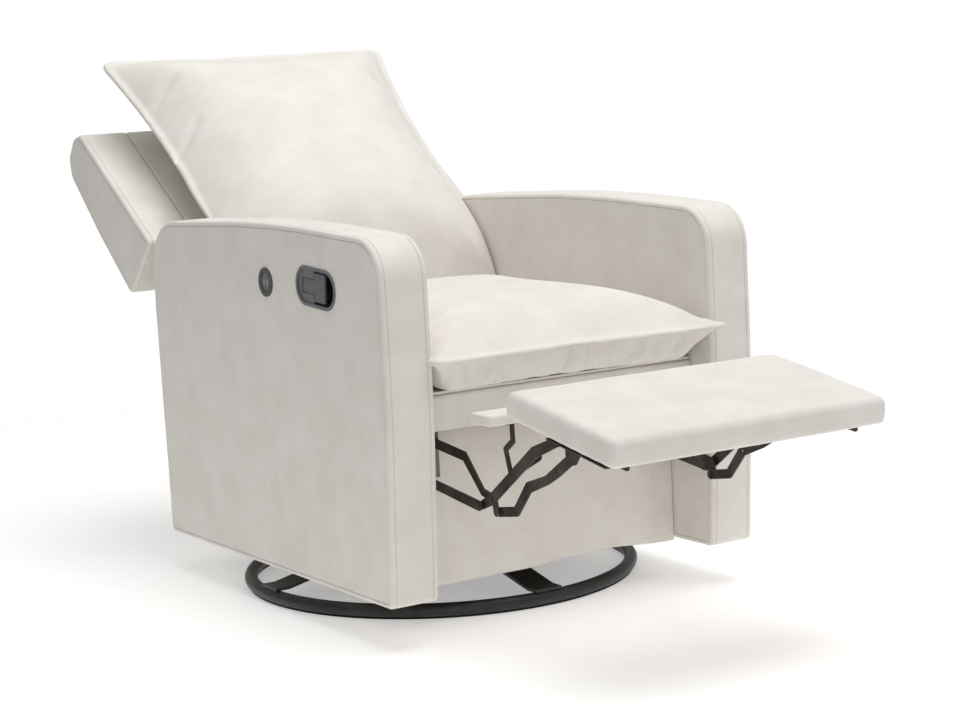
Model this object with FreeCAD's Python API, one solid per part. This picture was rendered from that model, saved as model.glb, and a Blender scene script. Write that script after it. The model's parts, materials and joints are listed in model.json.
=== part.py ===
import FreeCAD, Part
import math
import os

# Glider nursery chair, shown reclined with the footrest out.
# Millimetres. Origin on the floor, on the swivel axis. +Z up, the sitter faces -Y.

Vector = FreeCAD.Vector
X_AXIS = Vector(1, 0, 0)
Y_AXIS = Vector(0, 1, 0)
Z_AXIS = Vector(0, 0, 1)
FAR = 2000.0

# overall
chair_half_width = 370.0
arm_thickness = 90.0
arm_inner = chair_half_width - arm_thickness
arm_front = -478.0
arm_rear = 387.0
body_bottom = 74.0
arm_top = 682.0
gap = 0.5

# floor ring and spider
ring_radius = 353.0
ring_tube_radius = 12.0
strip_height = 2.0
strip_half_width = 5.0
ring_height = strip_height + ring_tube_radius
strap_width = 54.0
strap_thickness = 5.0
hub_radius = 95.0
hub_top = 88.0
hub_thickness = 5.0
kingpin_radius = 12.0
running_fit = 0.05

# swivel bearing and glider
race_inner = 55.0
race_outer = 80.0
race_height = 3.0
swivel_plate_half = 84.0
swivel_plate_bottom = hub_top + 2 * race_height + 0.3
swivel_plate_thickness = 4.0
glide_pivot_y = 70.0
glide_pivot_top = 232.0
glide_pivot_bottom = 127.0
glide_pin_radius = 5.0
post_inner = 148.0
post_thickness = 4.0
post_half_width = 12.0
glide_link_inner = 156.0
glide_link_thickness = 4.0
glide_link_half_width = 11.0
glide_rail_inner = 164.0
glide_rail_thickness = 4.0
cross_rail_bottom = 103.0
cross_rail_height = 17.0
cross_rail_width = 24.0
cross_rail_front = -138.0
cross_rail_rear = 150.0

# footrest linkage: pivots as (y, z) with the footrest out
upper_pivot = (-320.5, 362.3)
lower_pivot = (-292.8, 350.8)
elbow = (-546.0, 247.0)
elbow_tail = (-517.0, 234.0)
elbow_tip = (-550.0, 226.0)
bracket_pivot = (-765.5, 369.2)
bracket_tip = (-767.6, 343.8)
flipper_pivot = (-660.0, 329.0)
link_thickness = 3.0
side_plate_plane = 236.0
side_plate_thickness = 4.0
lower_link_plane = 230.0
front_link_plane = 224.0
upper_link_plane = 218.0
rear_link_plane = 212.0
flipper_plane = 206.0
rivet_radius = 3.5
rivet_head_radius = 5.5
rivet_head_height = 1.3
loose_hole_radius = 5.0
torque_tube_radius = 10.0

# footrest board and pad
footrest_rear = (-661.0, 441.0)
footrest_tilt = 9.5
footrest_length = 285.0
footrest_thickness = 45.0
footrest_half_width = 265.0
footrest_board_thickness = 15.0
flipper_centre = (-580.0, 384.5)
flipper_depth = 56.0
flipper_thickness = 18.0
flipper_half_width = 262.0

# seat
front_rail_y = -420.0
front_rail_depth = 24.0
front_rail_bottom = 344.0
front_rail_top = 404.0
front_panel_y = -353.0
panel_thickness = 12.0
slot_inner = 203.0
slot_outer = 237.0
slot_bottom = 83.0
rear_panel_y = 374.0
rear_panel_top = 391.0
seat_rail_inner = side_plate_plane + side_plate_thickness
seat_rail_bottom = 335.0
seat_rail_top = 400.0
seat_rear = 262.0
spring_wire = 2.0
deck_bottom = 405.0
deck_thickness = 4.0
cushion_half_width = 279.0

# back
recline_pivot = (238.0, 445.0)
recline_pin_radius = 6.0
back_foot = (393.0, 627.0)
back_slope = 33.4
core_half_width = 268.0
pad_depth = 50.0
wing_inner = core_half_width + gap

# release handle and charging port, on the sitter's right arm
cup_centre = (-264.5, 583.0)
cup_length = 131.0
cup_height = 62.0
cup_depth = 32.0
cup_lip = 5.0
cup_tilt = 4.0
paddle_pivot_x = 9.0 - chair_half_width
paddle_pivot_back = 40.0
paddle_pin_radius = 2.5
paddle_front = -28.0
paddle_neck = 7.0
paddle_tail = 46.0
paddle_stem_half = 12.0
port_centre = (-85.0, 582.0)
port_radius = 25.0


def at(y, z, x=0.0):
    return Vector(x, y, z)


def export(name, shape):
    shape.exportStep("parts/" + name + ".step")


def mirrored(shape):
    return shape.mirror(Vector(0, 0, 0), X_AXIS)


def box(x0, x1, y0, y1, z0, z1):
    return Part.makeBox(x1 - x0, y1 - y0, z1 - z0, Vector(x0, y0, z0))


def rod(y, z, x0, x1, radius):
    """Round bar along X."""
    return Part.makeCylinder(radius, x1 - x0, Vector(x0, y, z), X_AXIS)


def rounded_wire(corners):
    """Closed outline from (y, z, corner radius) points, each corner rounded by a tangent arc."""
    edges = []
    starts = []
    ends = []
    middles = []
    count = len(corners)
    for i in range(count):
        y, z, radius = corners[i]
        here = at(y, z)
        before = at(corners[i - 1][0], corners[i - 1][1])
        after = at(corners[(i + 1) % count][0], corners[(i + 1) % count][1])
        to_before = (before - here).normalize()
        to_after = (after - here).normalize()
        half_angle = to_before.getAngle(to_after) / 2
        reach = radius / math.tan(half_angle)
        inward = (to_before + to_after).normalize()
        starts.append(here + to_before * reach)
        ends.append(here + to_after * reach)
        middles.append(here + inward * (radius / math.sin(half_angle) - radius))
    for i in range(count):
        if corners[i][2] > 0:
            edges.append(Part.Arc(starts[i], middles[i], ends[i]).toShape())
        edges.append(Part.makeLine(ends[i], starts[(i + 1) % count]))
    return Part.Wire(edges)


def slab(corners, x0, x1):
    """Rounded (y, z) outline given thickness along X."""
    face = Part.Face(rounded_wire(corners))
    face.translate(Vector(x0, 0, 0))
    return face.extrude(Vector(x1 - x0, 0, 0))


def bar(a, b, half_a, half_b, x0, x1):
    """Flat link segment with round ends of two radii."""
    start = at(a[0], a[1])
    along = at(b[0], b[1]) - start
    length = along.Length
    side = at(-along.z, along.y).normalize()
    finish = start + along
    outline = [start + side * half_a, finish + side * half_b, finish - side * half_b, start - side * half_a]
    face = Part.Face(Part.makePolygon(outline + outline[:1]))
    face.translate(Vector(x0, 0, 0))
    body = face.extrude(Vector(x1 - x0, 0, 0))
    ends = [rod(a[0], a[1], x0, x1, half_a), rod(b[0], b[1], x0, x1, half_b)]
    return body.multiFuse(ends)


def link(path, plane, thickness=link_thickness):
    """Bent flat link through (y, z, half width) stations, lying in one plane beside the next link."""
    pieces = []
    for a, b in zip(path[:-1], path[1:]):
        pieces.append(bar(a, b, a[2], b[2], plane, plane + thickness))
    return pieces[0].multiFuse(pieces[1:]).removeSplitter()


def drill(shape, pivot, radius):
    return shape.cut(rod(pivot[0], pivot[1], 0, FAR, radius))


def rivet(pivot, x0, x1, head_at, radius=rivet_radius):
    """Shouldered rivet from x0 to x1 with a flat head at one end."""
    shank = rod(pivot[0], pivot[1], x0, x1, radius)
    head = rod(pivot[0], pivot[1], head_at, head_at + rivet_head_height, rivet_head_radius)
    return shank.fuse(head)


def board_point(along, up):
    """Point on the footrest: distance forward from its rear top edge, and up from its top face."""
    tilt = math.radians(footrest_tilt)
    y = footrest_rear[0] - along * math.cos(tilt) - up * math.sin(tilt)
    z = footrest_rear[1] - along * math.sin(tilt) + up * math.cos(tilt)
    return (y, z)


def back_point(along, out):
    """Point on the back: distance up its front face from the wing's foot, and out of that face."""
    slope = math.radians(back_slope)
    y = back_foot[0] + along * math.cos(slope) - out * math.sin(slope)
    z = back_foot[1] + along * math.sin(slope) + out * math.cos(slope)
    return (y, z)


def back_corners(stations):
    return [back_point(along, out) + (radius,) for along, out, radius in stations]


def board_corners(stations):
    return [board_point(along, up) + (radius,) for along, up, radius in stations]


def sinuous_spring(x, start, end, count, to_space):
    """Zigzag wire of straight bars joined by half turns, laid out in a plane by to_space(x, along)."""
    pitch = (end - start) / (count - 1)
    turn = pitch / 2
    half_bar = 18.0
    edges = []
    side = 1
    for i in range(count):
        along = start + i * pitch
        edges.append(Part.makeLine(to_space(x - side * half_bar, along), to_space(x + side * half_bar, along)))
        if i < count - 1:
            top = to_space(x + side * half_bar, along)
            middle = to_space(x + side * (half_bar + turn), along + turn)
            bottom = to_space(x + side * half_bar, along + pitch)
            edges.append(Part.Arc(top, middle, bottom).toShape())
        side = -side
    wire = Part.Wire(edges)
    first = to_space(x - half_bar, start)
    section = Part.Wire(Part.Circle(first, X_AXIS, spring_wire).toShape())
    return wire.makePipeShell([section], True, False)


# base ----------------------------------------------------------------------------------------------

def make_floor_strip():
    outer = Part.makeCylinder(ring_radius + strip_half_width, strip_height)
    return outer.cut(Part.makeCylinder(ring_radius - strip_half_width, strip_height))


def make_base_ring():
    ring = Part.makeTorus(ring_radius, ring_tube_radius, Vector(0, 0, ring_height))
    seat = Part.makeCylinder(ring_radius + strip_half_width + gap, strip_height + gap)
    seat = seat.cut(Part.makeCylinder(ring_radius - strip_half_width - gap, strip_height + gap))
    return ring.cut(seat)


def make_base_spider():
    ring_top = ring_height + ring_tube_radius
    hub = Part.makeCylinder(hub_radius, hub_thickness, Vector(0, 0, hub_top - hub_thickness))
    arms = []
    for quarter in range(4):
        outline = [
            at(-ring_radius - 6, ring_top), at(-ring_radius - 6, ring_top + strap_thickness),
            at(-ring_radius + 20, ring_top + strap_thickness), at(-hub_radius + 25, hub_top),
            at(-hub_radius + 25, hub_top - strap_thickness), at(-ring_radius + 22, ring_top),
        ]
        face = Part.Face(Part.makePolygon(outline + outline[:1]))
        face.translate(Vector(-strap_width / 2, 0, 0))
        strap = face.extrude(Vector(strap_width, 0, 0))
        strap.rotate(Vector(0, 0, 0), Z_AXIS, 90 * quarter)
        arms.append(strap)
    spider = hub.multiFuse(arms).removeSplitter()
    return spider.cut(Part.makeCylinder(kingpin_radius + running_fit, FAR))


def make_race(bottom):
    race = Part.makeCylinder(race_outer, race_height, Vector(0, 0, bottom))
    return race.cut(Part.makeCylinder(race_inner, FAR))


# swivel and glider ---------------------------------------------------------------------------------

def make_swivel_plate():
    half = swivel_plate_half
    top = swivel_plate_bottom + swivel_plate_thickness
    plate = box(-post_inner - post_thickness, post_inner + post_thickness, -half, half, swivel_plate_bottom, top)
    pin = Part.makeCylinder(kingpin_radius, top - (hub_top - 20), Vector(0, 0, hub_top - 20))
    return plate.fuse(pin).removeSplitter()


def make_glider_post():
    """Upright plate with two ears; the glide links hang from its pins."""
    bottom = swivel_plate_bottom + swivel_plate_thickness
    outline = [(-swivel_plate_half, bottom, 0), (-glide_pivot_y - post_half_width, glide_pivot_top + 12, 10),
               (-glide_pivot_y + post_half_width, glide_pivot_top + 12, 10), (-50, 150, 12), (50, 150, 12),
               (glide_pivot_y - post_half_width, glide_pivot_top + 12, 10),
               (glide_pivot_y + post_half_width, glide_pivot_top + 12, 10), (swivel_plate_half, bottom, 0)]
    post = slab(outline, post_inner, post_inner + post_thickness)
    for side in (-1, 1):
        post = drill(post, (side * glide_pivot_y, glide_pivot_top), glide_pin_radius)
    return post


def make_upper_glide_pins():
    pins = []
    for side in (-1, 1):
        end = glide_link_inner + glide_link_thickness + 2
        pin = rod(side * glide_pivot_y, glide_pivot_top, post_inner - 3, end, glide_pin_radius)
        pins.append(pin)
        pins.append(mirrored(pin))
    return Part.makeCompound(pins)


def make_glide_link(y):
    top = (y, glide_pivot_top, glide_link_half_width)
    bottom = (y, glide_pivot_bottom, glide_link_half_width)
    body = link([top, bottom], glide_link_inner, glide_link_thickness)
    body = drill(body, top, glide_pin_radius + running_fit)
    return drill(body, bottom, glide_pin_radius + running_fit)


def make_glide_rail():
    low = cross_rail_bottom + cross_rail_height
    outline = [(cross_rail_front - 12, low, 0), (cross_rail_front - 12, glide_pivot_bottom + 12, 6),
               (cross_rail_rear + 12, glide_pivot_bottom + 12, 6), (cross_rail_rear + 12, low, 0),
               (glide_pivot_y + 14, low, 0), (glide_pivot_y + 10, low - 6, 2), (-glide_pivot_y - 10, low - 6, 2),
               (-glide_pivot_y - 14, low, 0)]
    rail = slab(outline, glide_rail_inner, glide_rail_inner + glide_rail_thickness)
    for side in (-1, 1):
        rail = drill(rail, (side * glide_pivot_y, glide_pivot_bottom), glide_pin_radius)
    return rail


def make_lower_glide_pins():
    pins = []
    for side in (-1, 1):
        end = glide_rail_inner + glide_rail_thickness + 3
        pin = rod(side * glide_pivot_y, glide_pivot_bottom, glide_link_inner - 2, end, glide_pin_radius)
        pins.append(pin)
        pins.append(mirrored(pin))
    return Part.makeCompound(pins)


def make_cross_rails():
    rails = []
    for y in (cross_rail_front, cross_rail_rear):
        top = cross_rail_bottom + cross_rail_height
        half = cross_rail_width / 2
        tube = box(-arm_inner, arm_inner, y - half, y + half, cross_rail_bottom, top)
        bore = box(-arm_inner, arm_inner, y - half + 2, y + half - 2, cross_rail_bottom + 2, top - 2)
        rails.append(tube.cut(bore))
    return Part.makeCompound(rails)


# arms ----------------------------------------------------------------------------------------------

def arm_outline(inset):
    """Side view of an arm: near-vertical front, crowned top, round shoulders."""
    return [
        (arm_front + 18 + inset, body_bottom, 6), (arm_rear - 10 - inset, body_bottom, 4),
        (arm_rear - inset, 500, 30), (arm_rear - 2 - inset, 668 - inset, 96 - inset),
        (-100, arm_top + 4 - inset, 400), (arm_front + 2 + inset, 670 - inset, 66 - inset),
        (arm_front + inset, 380, 300),
    ]


def stadium(centre, length, height, x0, x1):
    half = (length - height) / 2
    y, z = centre
    return bar((y - half, z), (y + half, z), height / 2, height / 2, x0, x1)


def make_arm_cover():
    """Foam and cloth over the arm frame, open underneath."""
    wall = 13.0
    outer = slab(arm_outline(0), arm_inner, chair_half_width)
    cavity = slab(arm_outline(wall), arm_inner + wall, chair_half_width - wall)
    open_bottom = box(arm_inner + wall, chair_half_width - wall, arm_front + 40, arm_rear - 30, 0, body_bottom + 40)
    return outer.cut(cavity.fuse(open_bottom))


def make_arm_frame():
    """Plywood inner panel with posts and a top rail that carry the cover."""
    clear = 13.5
    back_of_panel = arm_inner + clear
    panel = slab(arm_outline(clear), back_of_panel, back_of_panel + 18)
    rails = slab(arm_outline(clear), back_of_panel + 17, chair_half_width - clear)
    hollow = [(arm_front + 62, 0, 0), (arm_rear - 60, 0, 0), (arm_rear - 60, 560, 40), (arm_rear - 110, 638, 40),
              (-100, 645, 60), (arm_front + 70, 636, 40), (arm_front + 62, 560, 20)]
    rails = rails.cut(slab(hollow, 0, FAR))
    frame = panel.fuse(rails).removeSplitter()
    for window in (-300, -60, 170):
        opening = slab([(window - 80, 180, 25), (window + 80, 180, 25), (window + 80, 460, 25),
                        (window - 80, 460, 25)], 0, FAR)
        frame = frame.cut(opening)
    return frame.cut(box(0, FAR, -FAR, FAR, 0, body_bottom + 6))


# seat ----------------------------------------------------------------------------------------------

def make_seat_box():
    """Plywood box under the cushion: two side rails, front and rear boards."""
    front = front_rail_y + front_rail_depth + 2
    outer = box(-arm_inner + 1, arm_inner - 1, front, seat_rear, seat_rail_bottom, seat_rail_top)
    inner = box(-seat_rail_inner, seat_rail_inner, front + 18, seat_rear - 22, 0, FAR)
    under_front = box(-seat_rail_inner, seat_rail_inner, front - 1, front + 19, 0, 352)
    return outer.cut(inner).cut(under_front)


def make_seat_springs():
    plane = seat_rail_top + spring_wire
    start = front_rail_y + front_rail_depth + 11
    end = seat_rear - 11

    def to_space(x, along):
        return Vector(x, along, plane)
    springs = [sinuous_spring(x, start, end, 25, to_space) for x in (-172, -86, 0, 86, 172)]
    return Part.makeCompound(springs)


def make_seat_deck():
    return box(-arm_inner + 2, arm_inner - 2, front_rail_y + 4, 150, deck_bottom, deck_bottom + deck_thickness)


def make_seat_cushion():
    outline = [(-470, 413, 30), (100, 411, 60), (166, 465, 8), (163, 512, 30), (-90, 548, 400), (-440, 524, 60),
               (-512, 470, 4)]
    return slab(outline, -cushion_half_width, cushion_half_width)


def make_front_rail():
    outline = [(front_rail_y, front_rail_bottom, 4), (front_rail_y + front_rail_depth, front_rail_bottom, 2),
               (front_rail_y + front_rail_depth, front_rail_top, 2), (front_rail_y, front_rail_top, 8)]
    return slab(outline, -arm_inner + gap, arm_inner - gap)


def make_front_panel():
    """Upholstered skirt with a slot on each side for the footrest linkage."""
    top = seat_rail_bottom - gap
    panel = box(-arm_inner + gap, arm_inner - gap, front_panel_y, front_panel_y + panel_thickness, 70, top)
    for side in (-1, 1):
        inner = side * slot_inner
        outer = side * slot_outer
        low = min(inner, outer)
        high = max(inner, outer)
        panel = panel.cut(box(low, high, front_panel_y - 1, front_panel_y + panel_thickness + 1, slot_bottom, FAR))
    return panel


def make_rear_panel():
    half = arm_inner - gap
    return box(-half, half, rear_panel_y, rear_panel_y + panel_thickness, body_bottom + 2, rear_panel_top)


def make_side_plate():
    """Pressed steel plate that holds the footrest pivots in front and the recline pivot behind."""
    y, z = recline_pivot
    outline = [(-342, 340, 12), (150, 330, 20), (y + 22, z - 22, 19), (y + 22, z + 21, 19), (y - 22, z + 21, 19),
               (150, seat_rail_top - 1, 30), (-342, seat_rail_top - 1, 12)]
    plate = slab(outline, side_plate_plane, side_plate_plane + side_plate_thickness)
    recline = rod(recline_pivot[0], recline_pivot[1], 224, seat_rail_inner + 3, recline_pin_radius)
    upper = rivet(upper_pivot, upper_link_plane - 2, side_plate_plane + 1, upper_link_plane - 2)
    lower = rivet(lower_pivot, lower_link_plane - 1.5, side_plate_plane + 1, lower_link_plane - 1.5)
    return plate.fuse(recline).fuse(upper).fuse(lower)


def make_drive_spring():
    """Torsion spring round the torque tube that throws the footrest out."""
    radius = torque_tube_radius + 4.0
    turns = 8
    wire_radius = 1.5
    pitch = 2 * wire_radius + 0.6
    helix = Part.makeHelix(pitch, pitch * turns, radius)
    section = Part.Wire(Part.Circle(Vector(radius, 0, 0), Y_AXIS, wire_radius).toShape())
    coil = Part.Wire(helix).makePipeShell([section], True, True)
    coil.rotate(Vector(0, 0, 0), Y_AXIS, 90)
    coil.translate(at(upper_pivot[0], upper_pivot[1], -pitch * turns / 2))
    return coil


# footrest linkage ----------------------------------------------------------------------------------

def make_upper_link():
    path = [upper_pivot + (9,), (-372, 316, 8), (-461, 306, 8), (-512, 254, 6.5), elbow + (7,), elbow_tip + (7,)]
    body = drill(link(path, upper_link_plane), upper_pivot, rivet_radius + running_fit)
    outer = rivet(elbow, upper_link_plane + 1, front_link_plane + link_thickness + 1.6,
                  front_link_plane + link_thickness + 0.3)
    inner = rivet(elbow_tip, rear_link_plane - 1.6, upper_link_plane + 1, rear_link_plane - 1.6)
    return body.fuse(outer).fuse(inner)


def make_lower_link():
    path = [lower_pivot + (9,), (-378, 251, 8), elbow_tail + (8.5,)]
    body = drill(link(path, lower_link_plane), lower_pivot, rivet_radius + running_fit)
    return drill(body, elbow_tail, loose_hole_radius)


def make_front_ottoman_link():
    path = [elbow_tail + (7,), elbow + (9,), (-676, 340, 9.5), (-735, 363, 8), bracket_pivot + (6,)]
    body = link(path, front_link_plane)
    body = drill(body, elbow, rivet_radius + running_fit)
    body = drill(body, bracket_pivot, rivet_radius + running_fit)
    tail = rivet(elbow_tail, front_link_plane + 1, lower_link_plane + link_thickness + 1.6,
                 lower_link_plane + link_thickness + 0.3)
    stud = rivet(flipper_pivot, flipper_plane - 1.6, front_link_plane + 1, flipper_plane - 1.6)
    return body.fuse(tail).fuse(stud)


def make_rear_ottoman_link():
    path = [elbow_tip + (8,), (-600, 234, 8), (-638, 278, 9), (-691, 297, 7.5), (-722, 315, 9),
            bracket_tip + (9,)]
    body = drill(link(path, rear_link_plane), elbow_tip, rivet_radius + running_fit)
    for hole in ((-638, 278), (-722, 315)):
        body = drill(body, hole, 2.5)
    return drill(body, bracket_tip, loose_hole_radius)


def make_footrest_bracket():
    """Angle iron: a flange screwed under the board and a web with two pivots."""
    under = -footrest_thickness
    web = slab(board_corners([(104, under, 0), (266, under, 0), (266, under - 12, 4), (150, under - 14, 10),
                              (134, under - 44, 9), (110, under - 44, 9), (104, under - 14, 6)]),
               upper_link_plane, upper_link_plane + link_thickness)
    flange = slab(board_corners([(112, under, 0), (266, under, 0), (266, under - 2, 0), (112, under - 2, 0)]),
                  upper_link_plane, footrest_half_width - 3)
    bracket = web.fuse(flange).cut(Part.makeCompound(screw_shanks(2.0, 20, 10)))
    outer = rivet(bracket_pivot, upper_link_plane + 1, front_link_plane + link_thickness + 1.6,
                  front_link_plane + link_thickness + 0.3)
    inner = rivet(bracket_tip, rear_link_plane - 1.6, upper_link_plane + 1, rear_link_plane - 1.6)
    return bracket.fuse(outer).fuse(inner)


def make_torque_tube():
    tube = rod(upper_pivot[0], upper_pivot[1], -upper_link_plane + 2.5, upper_link_plane - 2.5, torque_tube_radius)
    return tube.cut(rod(upper_pivot[0], upper_pivot[1], -FAR, FAR, torque_tube_radius - 2))


def board_stations(margin, low, high, radius):
    length = footrest_length
    return [(margin, high, radius), (margin, low, radius), (length - margin, low, radius),
            (length - margin, high, radius)]


def make_footrest_pad():
    """Padded cover round the footrest board."""
    half = footrest_half_width
    outer = slab(board_corners(board_stations(0, -footrest_thickness, 0, 14)), -half, half)
    low = -footrest_thickness
    pocket = slab(board_corners(board_stations(16, low - 1, low + footrest_board_thickness, 0)), -half + 14, half - 14)
    return outer.cut(pocket)


def make_footrest_board():
    low = -footrest_thickness
    stations = board_stations(16 + gap, low, low + footrest_board_thickness - gap, 0)
    half = footrest_half_width - 14 - gap
    return slab(board_corners(stations), -half, half).cut(Part.makeCompound(screw_shanks(2.0, 18, 10)))


def screw_shanks(radius, length, sink):
    """Four parallel rods square to the footrest board, starting below its bracket flanges."""
    tilt = math.radians(footrest_tilt)
    upward = Vector(0, -math.sin(tilt), math.cos(tilt))
    rods = []
    for along in (152, 252):
        y, z = board_point(along, -footrest_thickness - sink)
        for x in (-244, 244):
            rods.append(Part.makeCylinder(radius, length, Vector(x, y, z), upward))
    return rods


def make_bracket_screws():
    flange = 2.0
    head = 2.2
    shanks = screw_shanks(2.0, 12, flange + head)
    heads = screw_shanks(4.5, head, flange + head)
    return Part.makeCompound([shank.fuse(cap).removeSplitter() for shank, cap in zip(shanks, heads)])


def make_flipper_board():
    y, z = flipper_centre
    half = flipper_thickness / 2
    depth = flipper_depth / 2
    outline = [(y - depth, z - half, 5), (y + depth, z - half, 5), (y + depth, z + half, 5), (y - depth, z + half, 5)]
    return slab(outline, -flipper_half_width, flipper_half_width)


def make_flipper_bracket():
    top = flipper_centre[1] - flipper_thickness / 2
    path = [flipper_pivot + (7,), (-580, 288, 5), (-567, 329, 5), (-589, 345, 5), (-588, top - 6, 5)]
    body = drill(link(path, flipper_plane), flipper_pivot, rivet_radius + running_fit)
    flange = box(flipper_plane, flipper_plane + 20, -598, -562, top - 2, top)
    tab = box(flipper_plane, flipper_plane + link_thickness, -593, -583, top - 8, top - 1)
    return body.fuse(tab).fuse(flange).removeSplitter()


# back ----------------------------------------------------------------------------------------------

back_profile = [(-209, 0, 12), (366, 0, 14), (390, -24, 22), (394, -74, 18), (366, -103, 22), (207, -128, 200),
                (28, -145, 200), (-243, -200, 6)]


def make_back_cover():
    """Rear shell of foam and cloth round the frame, open in front for the pad and open below."""
    outer = slab(back_corners(back_profile), -core_half_width, core_half_width)
    pad_space = slab(back_corners([(-230, 5, 0), (352, 5, 0), (352, -pad_depth, 0), (-230, -pad_depth, 0)]),
                     -core_half_width - 1, core_half_width + 1)
    cavity = slab(back_corners([(-230, -pad_depth + 1, 0), (352, -pad_depth + 1, 0), (352, -90, 0),
                                (207, -115, 0), (28, -132, 0), (-230, -186, 0)]),
                  -core_half_width + 12, core_half_width - 12)
    return outer.cut(pad_space).cut(cavity)


def make_back_pad():
    stations = [(-209, 0, 12), (352 - gap, 0, 0), (352 - gap, -pad_depth + gap, 0), (-200, -pad_depth + gap, 6)]
    return slab(back_corners(stations), -core_half_width, core_half_width)


def make_back_frame():
    """Plywood ring with steel hinge arms bolted to its posts."""
    front = -pad_depth - gap
    ring = slab(back_corners([(-176, front, 0), (345, front, 0), (345, front - 34, 0), (-176, front - 34, 0)]),
                -227, 227)
    window = slab(back_corners([(-130, 0, 0), (300, 0, 0), (300, -120, 0), (-130, -120, 0)]), -182, 182)
    frame = ring.cut(window)
    foot = recline_pivot + (17,)
    knee = back_point(-150, -69) + (17,)
    tip = back_point(-40, -69) + (15,)
    arm = drill(link([foot, knee, tip], 227, 5), recline_pivot, recline_pin_radius + running_fit)
    return frame.fuse(arm).fuse(mirrored(arm))


def make_back_springs():
    start = -130.0 + spring_wire
    end = 300.0 - spring_wire

    def to_space(x, along):
        y, z = back_point(along, -pad_depth - 14)
        return Vector(x, y, z)
    springs = [sinuous_spring(x, start, end, 17, to_space) for x in (-120, -40, 40, 120)]
    return Part.makeCompound(springs)


def make_wing():
    """Upholstered bolster beside the back that stands over the rear end of the arm."""
    stations = [(0, 0, 8), (366, 0, 14), (390, -24, 22), (394, -74, 18), (366, -103, 22), (207, -128, 200),
                (28, -145, 8)]
    return slab(back_corners(stations), wing_inner, chair_half_width)


def make_back_pillow():
    stations = [(-165, 18, 12), (-60, 2, 20), (150, 2, 40), (330, 60, 40), (420, 112, 4), (420, 130, 4),
                (320, 176, 60), (60, 168, 100), (-110, 122, 50), (-165, 82, 20)]
    pillow = slab(back_corners(stations), -312, 312)
    for side in (-1, 1):
        trim = [Vector(side * 269, *back_point(-200, -20)), Vector(side * 269, *back_point(30, -20)),
                Vector(side * 313, *back_point(425, -20)), Vector(side * 400, *back_point(425, -20)),
                Vector(side * 400, *back_point(-200, -20))]
        out = at(*back_point(0, 240)) - at(*back_point(0, 0))
        pillow = pillow.cut(Part.Face(Part.makePolygon(trim + trim[:1])).extrude(out))
    return pillow


# release handle, port, cable and inlet -------------------------------------------------------------

def tilt_with_cup(shape):
    """The cup sits slightly nose-down in the arm."""
    shape.rotate(at(*cup_centre), X_AXIS, cup_tilt)
    return shape


def make_handle_cup():
    """Moulded pocket let into the arm: a narrow lip, a face web round the paddle's stem, and its hinge pin."""
    face = -chair_half_width
    y, z = cup_centre
    body = stadium(cup_centre, cup_length, cup_height, face, face + cup_depth)
    lip = stadium(cup_centre, cup_length + cup_lip, cup_height + cup_lip, face - 1.5, face)
    pocket = stadium(cup_centre, cup_length - 6, cup_height - 6, face - 2, face + cup_depth - 3)
    web = stadium(cup_centre, cup_length - 5, cup_height - 5, face + 1, face + 4)
    web = web.common(box(face, 0, y + paddle_neck + 1, y + 80, 0, FAR))
    slot = box(face, 0, y, y + paddle_tail + 3, z - paddle_stem_half - 1, z + paddle_stem_half + 1)
    pin = Part.makeCylinder(paddle_pin_radius, cup_height - 4, Vector(paddle_pivot_x, y + paddle_pivot_back, z + 2 - cup_height / 2))
    return tilt_with_cup(body.fuse(lip).cut(pocket).fuse(web.cut(slot)).fuse(pin))


def make_release_paddle():
    """T-shaped pull paddle, flush in its cup, hinged on an upright pin behind."""
    y, z = cup_centre
    face = -chair_half_width
    bar_half = cup_height / 2 - 7
    plate = slab([(y + paddle_front, z - bar_half, 3), (y + paddle_neck, z - bar_half, 2),
                  (y + paddle_neck, z + bar_half, 2), (y + paddle_front, z + bar_half, 3)], face + 1.5, face + 5)
    stem = slab([(y + paddle_neck - 1, z - paddle_stem_half, 0), (y + paddle_tail, z - paddle_stem_half, 2),
                 (y + paddle_tail, z + paddle_stem_half, 2), (y + paddle_neck - 1, z + paddle_stem_half, 0)],
                face + 1.5, face + 5)
    foot = Vector(paddle_pivot_x, y + paddle_pivot_back, z - paddle_stem_half)
    barrel = Part.makeCylinder(paddle_pin_radius + 2.5, 2 * paddle_stem_half, foot)
    bore = Part.makeCylinder(paddle_pin_radius + running_fit, 2 * paddle_stem_half, foot)
    return tilt_with_cup(plate.fuse(stem).fuse(barrel).cut(bore))


def make_port_bezel():
    face = -chair_half_width
    body = rod(port_centre[0], port_centre[1], face - 2, face, port_radius)
    barrel = rod(port_centre[0], port_centre[1], face - 1, face + 24, port_radius - 5)
    bore = rod(port_centre[0], port_centre[1], face - 3, face + 20, port_radius - 9)
    return body.fuse(barrel).cut(bore)


def make_port_socket():
    face = -chair_half_width
    insert = rod(port_centre[0], port_centre[1], face - 0.5, face + 18, port_radius - 9.3)
    for side in (-1, 1):
        y = port_centre[0] + side * 6
        insert = insert.cut(box(face - 1, face + 12, y - 1.7, y + 1.7, port_centre[1] - 6.5, port_centre[1] + 6.5))
    return insert


def release_cable_path():
    """Down from the bottom of the cup, then inwards to the side plate."""
    x = 20.0 - chair_half_width
    y = cup_centre[0] + 20
    bend = 40.0
    low = 365.0
    start = Vector(x, y, cup_centre[1] + 1 - cup_height / 2)
    turn = Vector(x, y, low + bend)
    middle = Vector(x + bend * (1 - math.cos(math.pi / 4)), y, low + bend * (1 - math.sin(math.pi / 4)))
    end_turn = Vector(x + bend, y, low)
    end = Vector(-seat_rail_inner, y, low)
    return Part.Wire([Part.makeLine(start, turn), Part.Arc(turn, middle, end_turn).toShape(),
                      Part.makeLine(end_turn, end)])


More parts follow.
